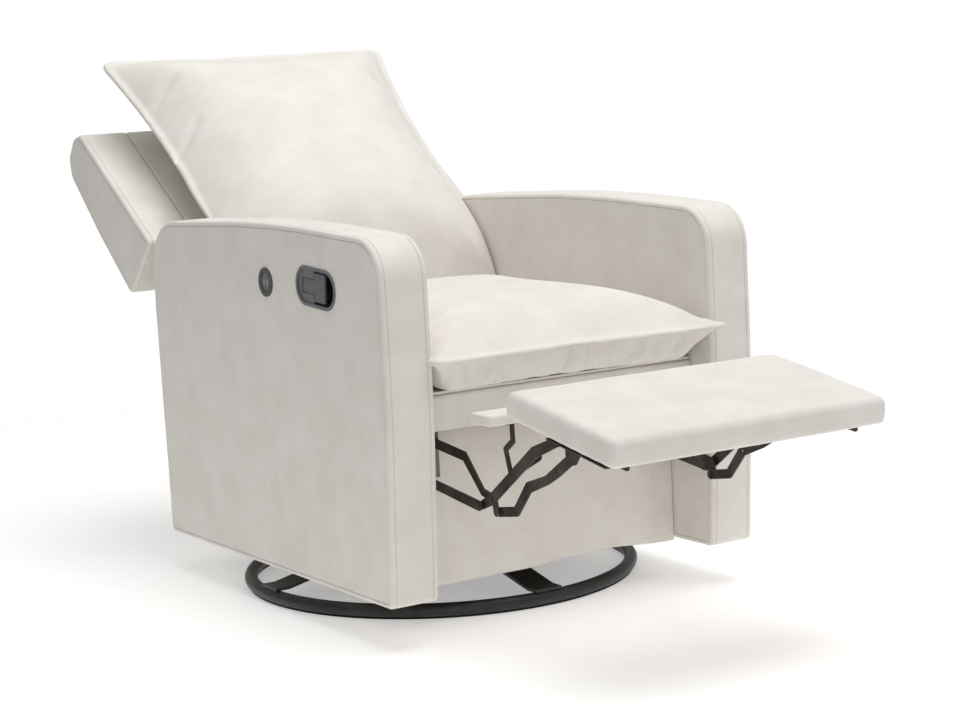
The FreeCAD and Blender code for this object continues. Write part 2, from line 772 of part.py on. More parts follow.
def make_release_cable(radius):
    path = release_cable_path()
    start = path.Vertexes[0].Point
    section = Part.Wire(Part.Circle(start, Z_AXIS, radius).toShape())
    return path.makePipeShell([section], True, False)


def make_power_inlet():
    y = rear_panel_y + panel_thickness
    flange = box(-222, -178, y, y + 2, 110, 138)
    body = box(-216, -184, y - panel_thickness - 8, y + 1, 114, 134)
    pocket = box(-212, -188, y - 12, y + 3, 117, 131)
    pins = [Part.makeCylinder(1.5, 10, Vector(x, y - 13, 124), Y_AXIS) for x in (-204, -196)]
    return flange.fuse(body).cut(pocket).multiFuse(pins)


def build():
    os.makedirs("parts", exist_ok=True)
    export("floor_strip", make_floor_strip())
    export("base_ring", make_base_ring())
    export("base_spider", make_base_spider())
    export("lower_bearing_race", make_race(hub_top))
    export("upper_bearing_race", make_race(hub_top + race_height + 0.3))
    export("swivel_plate", make_swivel_plate())
    export("upper_glide_pins", make_upper_glide_pins())
    export("lower_glide_pins", make_lower_glide_pins())
    export("cross_rails", make_cross_rails())

    cable_hole = make_release_cable(5.0)
    port_hole = rod(port_centre[0], port_centre[1], -FAR, 0, port_radius - 4.5)
    cup_hole = tilt_with_cup(stadium(cup_centre, cup_length + 0.6, cup_height + 0.6, -FAR, 0))
    outside = box(-chair_half_width - 1, -chair_half_width + 30, -FAR, FAR, 0, FAR)
    right_cover = mirrored(make_arm_cover()).cut(port_hole.common(outside)).cut(cup_hole.common(outside))
    export("arm_cover_right", right_cover.cut(cable_hole))
    export("arm_cover_left", make_arm_cover())
    export("arm_frame_right", mirrored(make_arm_frame()).cut(cable_hole))
    export("arm_frame_left", make_arm_frame())

    export("seat_box", make_seat_box().cut(cable_hole))
    export("seat_springs", make_seat_springs())
    export("seat_deck", make_seat_deck())
    export("seat_cushion", make_seat_cushion())
    export("front_rail", make_front_rail())
    export("front_panel", make_front_panel())
    inlet = make_power_inlet()
    inlet_hole = box(-216.5, -183.5, 0, FAR, 113.5, 134.5)
    export("rear_panel", make_rear_panel().cut(inlet_hole))
    export("power_inlet", inlet)
    export("drive_spring", make_drive_spring())

    sided = {
        "glider_post": make_glider_post(),
        "glide_rail": make_glide_rail(),
        "front_glide_link": make_glide_link(-glide_pivot_y),
        "rear_glide_link": make_glide_link(glide_pivot_y),
        "side_plate": make_side_plate(),
        "upper_link": make_upper_link(),
        "lower_link": make_lower_link(),
        "front_ottoman_link": make_front_ottoman_link(),
        "rear_ottoman_link": make_rear_ottoman_link(),
        "footrest_bracket": make_footrest_bracket(),
        "wing": make_wing(),
    }
    for name, shape in sided.items():
        export(name + "_left", shape)
        export(name + "_right", mirrored(shape))
    export("torque_tube", make_torque_tube())
    export("footrest_board", make_footrest_board())
    export("bracket_screws", make_bracket_screws())
    export("footrest_pad", make_footrest_pad())
    export("flipper_board", make_flipper_board())
    flipper_bracket = make_flipper_bracket()
    export("flipper_brackets", Part.makeCompound([flipper_bracket, mirrored(flipper_bracket)]))

    export("back_frame", make_back_frame())
    export("back_springs", make_back_springs())
    export("back_pad", make_back_pad())
    export("back_cover", make_back_cover())
    export("back_pillow", make_back_pillow())

    export("handle_cup", make_handle_cup())
    export("release_paddle", make_release_paddle())
    export("port_bezel", make_port_bezel())
    export("port_socket", make_port_socket())
    export("release_cable", make_release_cable(3.0))


build()
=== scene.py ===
import json
import math

import bmesh
import bpy
from mathutils import Matrix, Vector, noise

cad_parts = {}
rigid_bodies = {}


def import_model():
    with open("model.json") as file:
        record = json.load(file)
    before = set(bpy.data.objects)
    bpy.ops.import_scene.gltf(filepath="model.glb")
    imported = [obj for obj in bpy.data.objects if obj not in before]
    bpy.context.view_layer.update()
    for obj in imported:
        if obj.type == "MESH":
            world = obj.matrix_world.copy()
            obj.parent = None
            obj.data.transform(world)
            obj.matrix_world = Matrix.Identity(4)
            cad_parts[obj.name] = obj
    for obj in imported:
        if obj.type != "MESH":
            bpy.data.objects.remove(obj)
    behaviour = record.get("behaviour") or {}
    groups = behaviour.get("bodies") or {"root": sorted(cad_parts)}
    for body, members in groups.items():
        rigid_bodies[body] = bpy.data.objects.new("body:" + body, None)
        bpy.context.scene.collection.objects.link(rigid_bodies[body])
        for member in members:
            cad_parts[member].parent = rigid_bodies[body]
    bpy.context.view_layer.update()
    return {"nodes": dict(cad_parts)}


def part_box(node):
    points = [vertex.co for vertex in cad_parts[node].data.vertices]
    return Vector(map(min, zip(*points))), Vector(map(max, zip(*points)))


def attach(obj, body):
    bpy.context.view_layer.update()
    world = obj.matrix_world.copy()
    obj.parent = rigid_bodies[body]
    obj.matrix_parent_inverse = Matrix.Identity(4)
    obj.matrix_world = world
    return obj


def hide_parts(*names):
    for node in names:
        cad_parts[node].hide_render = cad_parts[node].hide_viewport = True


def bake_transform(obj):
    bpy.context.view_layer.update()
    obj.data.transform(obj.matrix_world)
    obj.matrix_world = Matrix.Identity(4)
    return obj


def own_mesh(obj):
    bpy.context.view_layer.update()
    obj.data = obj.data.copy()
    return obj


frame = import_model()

nodes = frame["nodes"]
scene = bpy.context.scene


# Studio. A pale seamless floor under large soft lights, seen from the front left at standing eye height.
# The floor is matt white paint that fades into a white room, so that the ring and cloth keep their colours.

def hex_colour(code):
    """sRGB hex to the linear colour that a shader reads."""
    channels = [int(code[i:i + 2], 16) / 255 for i in (0, 2, 4)]
    return tuple(c / 12.92 if c <= 0.04045 else ((c + 0.055) / 1.055) ** 2.4 for c in channels) + (1.0,)


def add_node(tree, kind, inputs=None, **settings):
    """Adds a node. Each input is given a value, or another node's output to link to."""
    node = tree.nodes.new(kind)
    for name, value in settings.items():
        setattr(node, name, value)
    for name, value in (inputs or {}).items():
        if isinstance(value, bpy.types.NodeSocket):
            tree.links.new(value, node.inputs[name])
        else:
            node.inputs[name].default_value = value
    return node


def new_material(name, colour, roughness, metallic=0.0):
    material = bpy.data.materials.new(name)
    material.use_nodes = True
    surface = material.node_tree.nodes["Principled BSDF"]
    surface.inputs["Base Color"].default_value = hex_colour(colour)
    surface.inputs["Roughness"].default_value = roughness
    surface.inputs["Metallic"].default_value = metallic
    return material, material.node_tree, surface


def object_mode():
    if bpy.context.object and bpy.context.object.mode != "OBJECT":
        bpy.ops.object.mode_set(mode="OBJECT")
    bpy.ops.object.select_all(action="DESELECT")


white = (1.0, 1.0, 1.0, 1.0)
floor_width = 7
fade_start = 1.1
fade_end = 2.9
object_mode()
bpy.ops.mesh.primitive_plane_add(size=floor_width)
floor = bpy.context.object
floor.name = "studio_floor"
floor_paint, tree, surface = new_material("matt_white_floor_paint", "F4F3F1", 0.9)
place = add_node(tree, "ShaderNodeTexCoord").outputs["Object"]
speckle = add_node(tree, "ShaderNodeTexNoise", {"Vector": place, "Scale": 3.0})
tones = {0: speckle.outputs["Fac"], 6: hex_colour("F6F5F4"), 7: hex_colour("F2F1EF")}
tone = add_node(tree, "ShaderNodeMix", tones, data_type="RGBA")
tree.links.new(tone.outputs[2], surface.inputs["Base Color"])
surface.inputs["Emission Color"].default_value = white
surface.inputs["Emission Strength"].default_value = 0.34
from_middle = add_node(tree, "ShaderNodeVectorMath", {0: place}, operation="LENGTH")
fade = {"Value": from_middle.outputs["Value"], "From Min": fade_start, "From Max": fade_end,
        "To Min": 1.0, "To Max": 0.0}
fading = add_node(tree, "ShaderNodeMapRange", fade, interpolation_type="SMOOTHSTEP")
tree.links.new(fading.outputs["Result"], surface.inputs["Alpha"])
floor.data.materials.append(floor_paint)

scene.view_settings.view_transform = "Standard"
scene.world = bpy.data.worlds.new("studio_surround")
scene.world.use_nodes = True
tree = scene.world.node_tree
room_light = tree.nodes["Background"]
room_light.inputs["Color"].default_value = white
room_light.inputs["Strength"].default_value = 0.36
white_wall = add_node(tree, "ShaderNodeBackground", {"Color": white, "Strength": 1.0})
seen_directly = add_node(tree, "ShaderNodeLightPath").outputs["Is Camera Ray"]
surround = add_node(tree, "ShaderNodeMixShader", {0: seen_directly, 1: room_light.outputs[0],
                                                  2: white_wall.outputs[0]})
tree.links.new(surround.outputs[0], tree.nodes["World Output"].inputs["Surface"])

for name, place, aim, size, power in (
        ("key_light", (2.6, -3.4, 3.4), (0.0, -0.1, 0.45), 2.6, 24.0),
        ("top_light", (0.3, -0.6, 4.2), (0.0, -0.1, 0.4), 3.2, 122.0),
        ("front_fill", (-1.4, -4.4, 1.3), (0.0, -0.2, 0.45), 2.4, 13.0)):
    bpy.ops.object.light_add(type="AREA", location=place)
    light = bpy.context.object
    light.name = name
    light.data.size = size
    light.data.energy = power
    light.rotation_euler = (Vector(aim) - Vector(place)).to_track_quat("-Z", "Y").to_euler()

camera_place = Vector((-2.1011, -3.5296, 0.9595))
camera_yaw = 0.5591
camera_pitch = -0.1368
camera_roll = -0.0490
forward = Vector((math.sin(camera_yaw) * math.cos(camera_pitch),
                  math.cos(camera_yaw) * math.cos(camera_pitch), math.sin(camera_pitch)))
level = Vector((math.cos(camera_yaw), -math.sin(camera_yaw), 0))
upward = level.cross(forward)
right = math.cos(camera_roll) * level + math.sin(camera_roll) * upward
up = math.cos(camera_roll) * upward - math.sin(camera_roll) * level
camera = bpy.data.objects.new("camera", bpy.data.cameras.new("camera"))
scene.collection.objects.link(camera)
camera_turn = Matrix((right, up, -forward)).transposed().to_4x4()
camera.matrix_world = Matrix.Translation(camera_place) @ camera_turn
camera.data.lens = 84.39
scene.camera = camera


# Steelwork. The ring, spider, glider and footrest linkage are mild steel, cut and bent, then blackened: the
# ring and glider by powder coating, the links by phosphating.

def object_coordinates(tree, scale=(1, 1, 1)):
    """Object coordinates, stretched by a Mapping node."""
    source = add_node(tree, "ShaderNodeTexCoord").outputs["Object"]
    return add_node(tree, "ShaderNodeMapping", {"Vector": source, "Scale": scale}).outputs["Vector"]


def mottled(tree, surface, dark, light, patch, place=None):
    """Lets the colour drift between two tones in patches about `patch` metres wide."""
    cloud = add_node(tree, "ShaderNodeTexNoise", {"Vector": place or object_coordinates(tree),
                                                  "Scale": 1 / patch, "Detail": 4.0, "Roughness": 0.6})
    ramp = add_node(tree, "ShaderNodeValToRGB", {"Fac": cloud.outputs["Fac"]})
    ramp.color_ramp.elements[0].position = 0.35
    ramp.color_ramp.elements[0].color = hex_colour(dark)
    ramp.color_ramp.elements[1].position = 0.65
    ramp.color_ramp.elements[1].color = hex_colour(light)
    tree.links.new(ramp.outputs["Color"], surface.inputs["Base Color"])


def grained(tree, surface, grain, height, strength=1.0, place=None, below=None):
    """Fine bump with features about `grain` metres apart and `height` metres deep."""
    texture = add_node(tree, "ShaderNodeTexNoise", {"Vector": place or object_coordinates(tree),
                                                    "Scale": 1 / grain, "Detail": 2.0})
    inputs = {"Height": texture.outputs["Fac"], "Distance": height, "Strength": strength}
    if below:
        inputs["Normal"] = below.outputs["Normal"]
    bump = add_node(tree, "ShaderNodeBump", inputs)
    tree.links.new(bump.outputs["Normal"], surface.inputs["Normal"])
    return bump


def finish_nodes(material, names):
    """Gives CAD nodes their finish."""
    for name in names:
        mesh = nodes[name].data
        mesh.materials.clear()
        mesh.materials.append(material)


# Powder coat is a black satin film with a fine orange peel, drawn coarser than life, at 1.2 mm, to show.
black_powder_coat, tree, surface = new_material("black_powder_coated_steel", "1E1D1C", 0.42)
mottled(tree, surface, "191817", "2A2826", 0.035)
grained(tree, surface, 0.0012, 0.00012, 0.5)

# Phosphated steel is greyer and half metallic, clouded in 50 mm patches, with a grain drawn at 1.6 mm, also
# coarser than life.
linkage_steel, tree, surface = new_material("black_phosphated_linkage_steel", "2B2826", 0.46, 0.55)
mottled(tree, surface, "26231F", "4A4742", 0.05)
grained(tree, surface, 0.0016, 0.00015, 0.6)

sides = ("left", "right")
finish_nodes(black_powder_coat, ["base_ring", "base_spider", "swivel_plate", "cross_rails", "torque_tube"]
             + [part + side for part in ("glider_post_", "glide_rail_", "front_glide_link_",
                                         "rear_glide_link_") for side in sides])
finish_nodes(linkage_steel, ["flipper_brackets"]
             + [part + side for part in ("side_plate_", "upper_link_", "lower_link_", "front_ottoman_link_",
                                         "rear_ottoman_link_", "footrest_bracket_") for side in sides])


# Springs, races, pins and screws. They are hard steel, zinc plated and left bright, clouded in two greys.
# A faint 0.8 mm grain, coarser than life, is drawn out across the chair.

zinc_plate, tree, surface = new_material("zinc_plated_spring_steel", "B9B8B4", 0.34, 1.0)
mottled(tree, surface, "A3A29D", "C6C5C1", 0.02)
grained(tree, surface, 0.0008, 0.00006, 0.4, object_coordinates(tree, (0.1, 1, 1)))
finish_nodes(zinc_plate, ["lower_bearing_race", "upper_bearing_race", "upper_glide_pins", "lower_glide_pins",
                          "seat_springs", "back_springs", "drive_spring", "bracket_screws"])


# Frames inside the covers. Birch plywood, sawn and sanded: pale, warm and matt. Its soft darker figure is
# narrow across the chair and long the other two ways.

birch_plywood, tree, surface = new_material("sanded_birch_plywood", "C7A778", 0.62)
figure = object_coordinates(tree, (8, 1, 1))
mottled(tree, surface, "B8935F", "D3B68A", 0.03, figure)
grained(tree, surface, 0.002, 0.0002, 0.5, figure)
finish_nodes(birch_plywood, ["arm_frame_left", "arm_frame_right", "seat_box", "back_frame", "footrest_board"])


# Floor strip. Black EPDM rubber, extruded and pressed on below the ring. It is dull all over and a little
# greyer in patches, with a 1.5 mm grain, coarser than life.

floor_rubber, tree, surface = new_material("extruded_epdm_rubber", "151515", 0.85)
mottled(tree, surface, "121212", "1D1C1B", 0.02)
grained(tree, surface, 0.0015, 0.0002, 0.5)
finish_nodes(floor_rubber, ["floor_strip"])


# Release handle and charging port, in the sitter's right arm. They are injection moulded ABS. The release
# cable has a PVC sheath. The fine texture of each finish is drawn at 0.7 or 0.8 mm, coarser than life.

# Spark-eroded ABS: even mid grey with a satin gleam.
grey_abs, tree, surface = new_material("spark_textured_abs", "6C6C6E", 0.38)
mottled(tree, surface, "666668", "737375", 0.02)
grained(tree, surface, 0.0008, 0.00008, 0.5)
finish_nodes(grey_abs, ["handle_cup", "port_socket"])

# The paddle is a shade darker and duller than its cup.
paddle_abs, tree, surface = new_material("satin_moulded_abs", "666669", 0.45)
mottled(tree, surface, "606063", "6C6C6F", 0.02)
grained(tree, surface, 0.0008, 0.00008, 0.5)
finish_nodes(paddle_abs, ["release_paddle"])

# The port's bezel is darker and glossier than the cup.
bezel_abs, tree, surface = new_material("semi_gloss_moulded_abs", "4A4A4C", 0.34)
mottled(tree, surface, "464648", "4F4F51", 0.02)
grained(tree, surface, 0.0008, 0.00006, 0.4)
finish_nodes(bezel_abs, ["port_bezel"])

# The inlet and the cable's sheath are black and glossier again.
black_abs, tree, surface = new_material("glossy_moulded_abs", "1A1A1C", 0.3)
mottled(tree, surface, "161618", "202022", 0.01)
grained(tree, surface, 0.0007, 0.00005, 0.4)
finish_nodes(black_abs, ["power_inlet", "release_cable"])


def take(piece):
    """Selects one piece alone, in object mode."""
    object_mode()
    bpy.context.view_layer.objects.active = piece
    piece.select_set(True)


def apply_modifiers(piece):
    take(piece)
    for modifier in list(piece.modifiers):
        bpy.ops.object.modifier_apply(modifier=modifier.name)


def settle(piece):
    """Moves a piece's place, turn and size into its mesh."""
    take(piece)
    bpy.ops.object.transform_apply(location=True, rotation=True, scale=True)


def joined(name, pieces):
    object_mode()
    for piece in pieces:
        piece.select_set(True)
    bpy.context.view_layer.objects.active = pieces[0]
    bpy.ops.object.join()
    bpy.context.object.name = name
    return bpy.context.object


# The port's contact tongues are tinned metal, pale and half metallic.
contact_metal, tree, surface = new_material("tinned_contact_tongue", "C9C9C7", 0.35, 0.6)
mottled(tree, surface, "BDBDBB", "D2D2D0", 0.003)
arm_face = -0.370
port_y = -0.085
port_z = 0.582
tongue_size = (0.009, 0.0019, 0.0105)
tongue_depth = 0.0034
tongue_spacing = 0.006
tongues = []
for side in (-1, 1):
    bpy.ops.mesh.primitive_cube_add(size=1, location=(arm_face + tongue_depth, port_y + side * tongue_spacing,
                                                      port_z))
    tongue = bpy.context.object
    tongue.scale = tongue_size
    settle(tongue)
    bevel = tongue.modifiers.new("soft_edges", "BEVEL")
    bevel.width = 0.0006
    bevel.segments = 2
    apply_modifiers(tongue)
    tongues.append(tongue)
port_contacts = joined("port_contacts", tongues)
port_contacts.data.materials.append(contact_metal)
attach(port_contacts, "seat_frame")


# Arms. Each is a plywood frame wrapped in foam and cut-and-sewn cloth: two side panels and one strip that
# runs up the front, over the top and down the back, joined by a seam with a second row of stitching on the
# strip.

# The cloth is a polyester performance weave with a suede-like brushed face: matt and soft, with pale clouds
# 70 mm wide and slight hollows 28 mm apart. Its weave is drawn coarser than life (1.6 mm) so that it shows.
performance_cloth, tree, surface = new_material("brushed_performance_cloth", "E2DED7", 0.82)
surface.inputs["Sheen Weight"].default_value = 0.12
surface.inputs["Sheen Roughness"].default_value = 0.5
surface.inputs["Specular IOR Level"].default_value = 0.3
mottled(tree, surface, "DFDAD3", "E6E2DC", 0.07)
brushed = grained(tree, surface, 0.028, 0.0012, 0.28)
grained(tree, surface, 0.0016, 0.00035, 0.35, below=brushed)

# Twisted polyester thread, a shade darker and less matt than the cloth.
sewing_thread, tree, surface = new_material("twisted_polyester_thread", "CFC8BE", 0.6)
mottled(tree, surface, "C6BFB4", "D8D2C8", 0.01)

finish_nodes(performance_cloth, ["seat_deck"])


def edit(piece):
    take(piece)
    bpy.ops.object.mode_set(mode="EDIT")


def pick(kind, test):
    """In edit mode, selects only the vertices, edges or faces that pass the test."""
    bpy.ops.mesh.select_mode(type=kind)
    bpy.ops.mesh.select_all(action="DESELECT")
    shape = bmesh.from_edit_mesh(bpy.context.object.data)
    parts = {"VERT": shape.verts, "EDGE": shape.edges, "FACE": shape.faces}[kind]
    for part in [p for p in parts if test(p)]:
        part.select_set(True)
    shape.select_flush_mode()
    bmesh.update_edit_mesh(bpy.context.object.data)


groove = 0.0017
stitch_pitch = 0.0060
stitch_length = 0.0046
thread_radius = 0.00045


def padded_block(name, outline, x0, x1, rim):
    """Block with the side outline (y, z, corner radius) from x0 to x1, its rims rounded over."""
    object_mode()
    bpy.ops.mesh.primitive_circle_add(vertices=len(outline), fill_type="NGON")
    block = bpy.context.object
    block.name = name
    corners = [Vector((x0, y, z)) for y, z, radius in outline]
    for vertex, corner in zip(block.data.vertices, corners):
        vertex.co = corner
    edit(block)
    for number, corner in enumerate(corners):
        before = (corners[number - 1] - corner).normalized()
        after = (corners[(number + 1) % len(corners)] - corner).normalized()
        reach = outline[number][2] / math.tan(before.angle(after) / 2)
        pick("VERT", lambda v: (v.co - corner).length < 1e-5)
        bpy.ops.mesh.bevel(offset=reach, segments=10, affect="VERTICES")
    bpy.ops.mesh.select_all(action="SELECT")
    bpy.ops.mesh.extrude_region_move(TRANSFORM_OT_translate={"value": (x1 - x0, 0, 0)})
    bpy.ops.mesh.select_all(action="SELECT")
    bpy.ops.mesh.normals_make_consistent(inside=False)
    pick("EDGE", lambda e: abs(e.verts[0].co.x - e.verts[1].co.x) < 1e-6)
    bpy.ops.mesh.bevel(offset=rim, segments=5, affect="EDGES")
    object_mode()
    return block


def side_seam(block, x, inset):
    """Sewn groove round the side face at x."""
    edit(block)
    pick("FACE", lambda f: abs(f.normal.x) > 0.999 and abs(f.calc_center_median().x - x) < 1e-5)
    bpy.ops.mesh.inset(thickness=inset, depth=0)
    bpy.ops.mesh.inset(thickness=groove, depth=-groove)
    bpy.ops.mesh.inset(thickness=groove, depth=groove)
    object_mode()


def strip_seam(block, x):
    """Sewn groove right round the block, in the plane of x."""
    edit(block)
    for offset in (-groove, 0, groove):
        bpy.ops.mesh.select_all(action="SELECT")
        bpy.ops.mesh.bisect(plane_co=(x + offset, 0, 0), plane_no=(1, 0, 0))
    pick("VERT", lambda v: abs(v.co.x - x) < 1e-5)
    bpy.ops.transform.shrink_fatten(value=-groove)
    object_mode()


def thread(name, piece, test):
    """Row of stitches along the piece's edges that pass the test."""
    edit(piece)
    pick("EDGE", test)
    bpy.ops.mesh.duplicate()
    before = set(bpy.data.objects)
    bpy.ops.mesh.separate(type="SELECTED")
    object_mode()
    path = (set(bpy.data.objects) - before).pop()
    take(path)
    bpy.ops.object.convert(target="CURVE")
    path = bpy.context.object
    bpy.ops.mesh.primitive_cylinder_add(vertices=6, radius=thread_radius, depth=stitch_length,
                                        location=(stitch_length / 2, 0, 0), rotation=(0, math.pi / 2, 0))
    row = bpy.context.object
    row.name = name
    settle(row)
    repeat = row.modifiers.new("along_the_seam", "ARRAY")
    repeat.fit_type = "FIT_CURVE"
    repeat.curve = path
    repeat.use_relative_offset = False
    repeat.use_constant_offset = True
    repeat.constant_offset_displace = (stitch_pitch, 0, 0)
    follow = row.modifiers.new("on_the_seam", "CURVE")
    follow.object = path
    apply_modifiers(row)
    bpy.data.objects.remove(path)
    row.data.materials.clear()
    row.data.materials.append(sewing_thread)
    return row


def smooth(piece, degrees=32):
    take(piece)
    bpy.ops.object.shade_smooth_by_angle(angle=math.radians(degrees))
    object_mode()


def upholster(piece, body, hides, degrees=32):
    """Smooths a padded piece and clothes it, riding on a body in place of CAD nodes."""
    smooth(piece, degrees)
    piece.data.materials.append(performance_cloth)
    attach(piece, body)
    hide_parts(*hides)


def at_plane(x):
    return lambda e: all(abs(v.co.x - x) < 1e-5 for v in e.verts)


seam_from_rim = 0.0105
rim_round = 0.0065


def sewn_block(name, outline, x0, x1, body, hides, seam_faces, strip_seams):
    """Upholstered block with its seams and stitching, riding on a body in place of CAD nodes."""
    block = padded_block(name, outline, x0, x1, rim_round)
    for x in strip_seams:
        strip_seam(block, x)
    for x in seam_faces:
        side_seam(block, x, seam_inset)
    inward = {x: x - math.copysign(groove, x - (x0 + x1) / 2) for x in seam_faces}
    threads = [thread(name + "_row", block, at_plane(x)) for x in strip_seams]
    threads += [thread(name + "_row", block, at_plane(inward[x])) for x in seam_faces]
    upholster(block, body, hides)
    if threads:
        stitching = joined(name + "_stitching", threads)
        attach(stitching, body)


arm_inner = 0.280
seam_inset = 0.0005
arm_outline = [
    (-0.460, 0.074, 0.013), (0.377, 0.074, 0.013), (0.387, 0.500, 0.030), (0.385, 0.668, 0.096),
    (-0.100, 0.687, 3.500), (-0.476, 0.670, 0.070), (-0.478, 0.380, 2.000),
]
cup_centre = (-0.2645, 0.583)
cup_length = 0.1316
cup_height = 0.0626
cup_corner = 0.0312
cup_tilt = math.radians(4)
port_hole_radius = 0.0204
for side in sides:
    low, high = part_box("arm_cover_" + side)
    outer = high.x if side == "left" else low.x
    seams = [outer - math.copysign(seam_from_rim, outer), math.copysign(arm_inner + seam_from_rim, outer)]
    arm = padded_block("arm_" + side, arm_outline, low.x, high.x, rim_round)
    for x in seams:
        strip_seam(arm, x)
    for x in (low.x, high.x):
        side_seam(arm, x, seam_inset)
    threads = [thread("arm_row", arm, at_plane(x)) for x in seams]
    threads += [thread("arm_row", arm, at_plane(x)) for x in (low.x + groove, high.x - groove)]
    if side == "right":
        bpy.ops.mesh.primitive_cube_add(size=1, location=(arm_face, *cup_centre), rotation=(cup_tilt, 0, 0))
        cutter = bpy.context.object
        cutter.scale = (0.080, cup_length, cup_height)
        settle(cutter)
        edit(cutter)
        pick("EDGE", lambda e: abs(e.verts[0].co.x - e.verts[1].co.x) > 0.05)
        bpy.ops.mesh.bevel(offset=cup_corner, segments=12, affect="EDGES")
        object_mode()
        bpy.ops.mesh.primitive_cylinder_add(vertices=40, radius=port_hole_radius, depth=0.060,
                                            location=(arm_face, port_y, port_z),
                                            rotation=(0, math.pi / 2, 0))
        drill = bpy.context.object
        settle(drill)
        for tool in (cutter, drill):
            cut = arm.modifiers.new("opening", "BOOLEAN")
            cut.object = tool
            cut.solver = "EXACT"
        apply_modifiers(arm)
        for tool in (cutter, drill):
            bpy.data.objects.remove(tool)
    upholster(arm, "seat_frame", ["arm_cover_" + side])
    stitching = joined("arm_stitching_" + side, threads)
    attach(stitching, "seat_frame")


# Back. Two bolsters stand over the rear ends of the arms, with the back panel between them. Each is foam over
# the frame under the same cloth, and the joins between them are deep sewn channels.

back_foot = Vector((0, 0.393, 0.627))
back_slope = math.radians(33.4)
up_the_back = Vector((0, math.cos(back_slope), math.sin(back_slope)))
out_of_back = Vector((0, -math.sin(back_slope), math.cos(back_slope)))


def back_outline(stations):
    """(y, z, corner radius) from distances up the back and out of its face."""
    places = [(back_foot + up_the_back * along + out_of_back * out, radius)
              for along, out, radius in stations]
    return [(place.y, place.z, radius) for place, radius in places]


head = [(0.366, 0, 0.016), (0.390, -0.024, 0.026), (0.394, -0.074, 0.022), (0.366, -0.103, 0.026),
        (0.207, -0.128, 0.200)]
wing_outline = back_outline([(0, 0, 0.013)] + head + [(0.028, -0.145, 0.013)])
panel_outline = back_outline([(-0.209, 0, 0.013)] + head
                             + [(0.028, -0.145, 0.200), (-0.243, -0.200, 0.013)])
for side in sides:
    low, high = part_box("wing_" + side)
    outer = high.x if side == "left" else low.x
    strip = outer - math.copysign(seam_from_rim, outer)
    sewn_block("back_bolster_" + side, wing_outline, low.x, high.x, "back", ["wing_" + side], [outer],
               [strip])
low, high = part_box("back_cover")
sewn_block("back_panel", panel_outline, low.x, high.x, "back", ["back_cover", "back_pad"], [], [])


# Lower upholstery. Rails and panels of board, padded thinly and wrapped in the same cloth, stapled behind.
# The front panel has a slot on each side for the footrest's links, which leave through it. A flap of cloth
# closes the foot of each slot.

board_rim = 0.004


def box_outline(low, high, radius):
    corners = ((low.y, low.z), (high.y, low.z), (high.y, high.z), (low.y, high.z))
    return [corner + (radius,) for corner in corners]


for name, node, body, radius in (("front_rail_cover", "front_rail", "seat_frame", 0.006),
                                 ("rear_panel_cover", "rear_panel", "seat_frame", 0.004),
                                 ("flipper_cover", "flipper_board", "flipper", 0.005)):
    low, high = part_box(node)
    board = padded_block(name, box_outline(low, high, radius), low.x, high.x, board_rim)
    upholster(board, body, [node])

slot_inner = 0.203
slot_outer = 0.237
slot_bottom = 0.083
flap_top = 0.255
flap_front = 0.0002
flap_rear = 0.003
wave_centre = 0.11
wave_reach = 0.16
wave_height = 0.009
low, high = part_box("front_panel")
front_panel = padded_block("front_panel_cover", box_outline(low, high, 0.003), low.x, high.x, 0.003)
for side in (-1, 1):
    slot_middle = side * (slot_inner + slot_outer) / 2
    bpy.ops.mesh.primitive_cube_add(size=1, location=(slot_middle, low.y, slot_bottom + 0.2))
    cutter = bpy.context.object
    cutter.scale = (slot_outer - slot_inner, 0.1, 0.4)
    settle(cutter)
    cut = front_panel.modifiers.new("linkage_slot", "BOOLEAN")
    cut.object = cutter
    cut.solver = "EXACT"
    apply_modifiers(front_panel)
    bpy.data.objects.remove(cutter)
edit(front_panel)
for x in [i * 0.02 for i in range(-13, 14)]:
    bpy.ops.mesh.select_all(action="SELECT")
    bpy.ops.mesh.bisect(plane_co=(x, 0, 0), plane_no=(1, 0, 0))
object_mode()
for vertex in front_panel.data.vertices:
    if vertex.co.z < slot_bottom - 0.002:
        from_wave = vertex.co.x - wave_centre
        wave = 0.5 + 0.5 * math.cos(from_wave * math.pi / wave_reach)
        vertex.co.z += wave_height * wave * (1 if abs(from_wave) < wave_reach else 0)
upholster(front_panel, "seat_frame", ["front_panel"])

for name, x in (("left", slot_inner), ("right", -slot_outer)):
    outline = [(low.y + flap_front, slot_bottom, 0.0005), (low.y + flap_rear, slot_bottom, 0.0005),
               (low.y + flap_rear, flap_top, 0.0005), (low.y + flap_front, flap_top, 0.0005)]
    flap = padded_block("slot_flap_" + name, outline, x, x + slot_outer - slot_inner, 0.0003)
    smooth(flap)
    flap.data.materials.append(performance_cloth)
    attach(flap, "seat_frame")
    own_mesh(flap)


# Footrest. A padded board in a cover drawn tight over soft edges. Its top is slightly crowned, and the foam
# under the cloth leaves it faintly uneven.

footrest_top = Vector((0, -0.661, 0.441))
footrest_tilt = math.radians(9.5)
along_foot = Vector((0, -math.cos(footrest_tilt), -math.sin(footrest_tilt)))
out_of_foot = Vector((0, -math.sin(footrest_tilt), math.cos(footrest_tilt)))
footrest_length = 0.285
footrest_thickness = 0.045


def footrest_outline():
    """(y, z, corner radius) of the footrest's side view."""
    stations = [(0, 0, 0.014), (0, -footrest_thickness, 0.006),
                (footrest_length, -footrest_thickness, 0.006), (footrest_length, 0, 0.016)]
    places = [(footrest_top + along_foot * along + out_of_foot * out, radius)
              for along, out, radius in stations]
    return [(place.y, place.z, radius) for place, radius in places]


